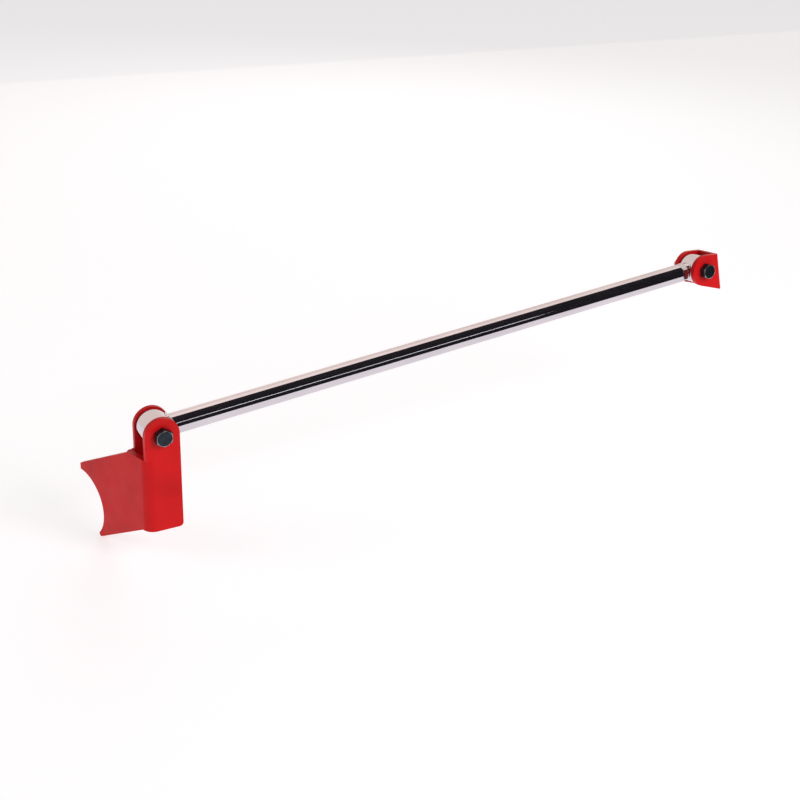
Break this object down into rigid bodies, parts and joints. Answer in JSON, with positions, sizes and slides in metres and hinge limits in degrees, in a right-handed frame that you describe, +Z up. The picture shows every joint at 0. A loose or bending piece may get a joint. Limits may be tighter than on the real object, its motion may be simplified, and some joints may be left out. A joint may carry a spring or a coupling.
{
  "type": "adjustable track bar",
  "caption": "Adjustable track bar for a live axle: plated tube with bushed eyes, a saddle bracket for the axle tube and a U-shaped frame bracket.",
  "frame": {"origin": "centre of the axle tube in the axle bracket's saddle, in the middle of the plate's thickness", "axes": "+X along the axle's width towards the frame bracket, +Y towards the axle from the bar, +Z up along the bracket's ears"},
  "size_m": [0.8841, 0.145, 0.2741],
  "materials": {
    "red_paint": "gloss red powder coat over bent steel plate",
    "painted_weld": "red powder coat over a weld bead",
    "chrome": "bright chrome plate over polished tube",
    "plated_weld": "bright plate over a ground weld bead",
    "plated_nut": "bright zinc plate on a machined thread",
    "dark_bolt": "dark blue-black oxide",
    "zinc": "pale zinc plate",
    "sleeve_steel": "turned steel",
    "urethane": "black cast urethane",
    "nylon": "white nylon"
  },
  "bodies": {
    "axle_mount": {"axle_bracket": "red_paint", "axle_back_ear": "red_paint", "axle_ear_weld": "painted_weld", "axle_bolt": "dark_bolt", "axle_nut": "zinc", "axle_nut_insert": "nylon", "axle_nut_washer": "zinc", "axle_sleeve": "sleeve_steel"},
    "bar": {"axle_bushing_front": "urethane", "axle_bushing_back": "urethane", "axle_eye": "chrome", "axle_eye_weld": "plated_weld", "bar_tube": "chrome", "tube_bung": "sleeve_steel"},
    "jam_nut": {"jam_nut": "plated_nut"},
    "frame_eye": {"eye_stud": "plated_nut", "frame_eye": "chrome", "frame_eye_weld": "plated_weld", "frame_bushing_front": "urethane", "frame_bushing_back": "urethane"},
    "frame_mount": {"frame_sleeve": "sleeve_steel", "frame_bolt": "dark_bolt", "frame_nut": "zinc", "frame_nut_insert": "nylon", "frame_nut_washer": "zinc", "frame_bracket": "red_paint"}
  },
  "joints": [
    {"name": "axle_pivot", "type": "hinge", "parent": "axle_mount", "child": "bar", "pos_m": [0.05353, -0.1145, 0.1385], "axis": [0, -1, 0], "range_deg": [-60, 60]},
    {"name": "eye_feed", "type": "slide", "parent": "bar", "child": "jam_nut", "axis": [0.9954, 0, 0.0958], "range_m": [0, 0.0099]},
    {"name": "eye_turn", "type": "hinge", "parent": "jam_nut", "child": "frame_eye", "pos_m": [0.84985, -0.1145, 0.21518], "axis": [0.9954, 0, 0.0958], "range_deg": [0, 2520]},
    {"name": "frame_pivot", "type": "hinge", "parent": "frame_eye", "child": "frame_mount", "pos_m": [0.84985, -0.1145, 0.21518], "axis": [-0.0142, -0.989, 0.1471], "range_deg": [-60, 60]}
  ],
  "couplings": [
    {"joint": "eye_feed", "follows": "eye_turn", "m_per_rad": 0.00022458}
  ]
}
